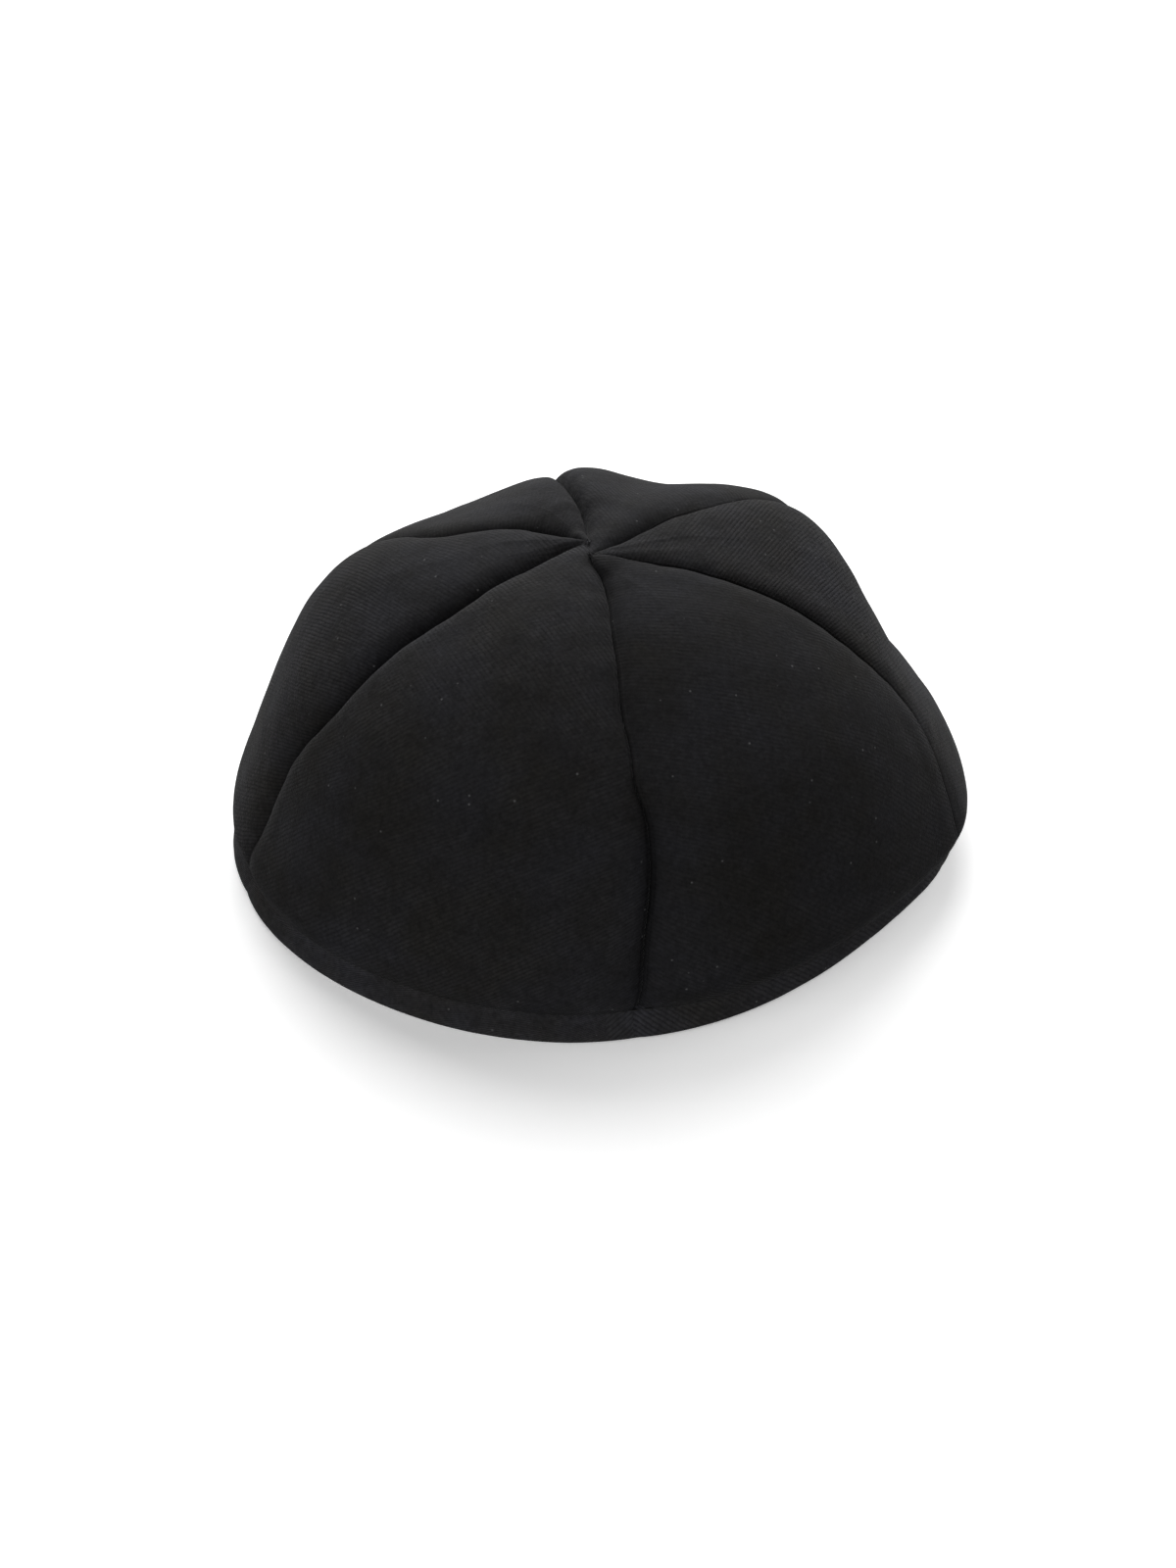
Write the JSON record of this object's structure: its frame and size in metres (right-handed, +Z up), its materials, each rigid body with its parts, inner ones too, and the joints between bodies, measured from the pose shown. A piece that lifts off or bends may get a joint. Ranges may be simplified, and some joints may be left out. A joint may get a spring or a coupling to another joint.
{
  "type": "kippah",
  "caption": "Deep round cloth skullcap of sewn gores that meet at the crown, with a stitched turned-up hem; worn on the head, and stands on its rim.",
  "frame": {"origin": "centre of the cap's box, on the surface that the hem stands on", "axes": "+Z up through the crown, -Y the front, where the front seam comes down, +X to the right as the front is looked at"},
  "size_m": [0.1726, 0.1625, 0.0742],
  "materials": {
    "black_twill": "matt woven cotton twill, slightly brushed",
    "black_twill_hem": "the same twill, folded under and topstitched"
  },
  "bodies": {
    "root": {"gore_front_right": "black_twill", "gore_right": "black_twill", "gore_back_right": "black_twill", "gore_back_left": "black_twill", "gore_left": "black_twill", "gore_front_left": "black_twill", "hem": "black_twill_hem"}
  },
  "joints": []
}
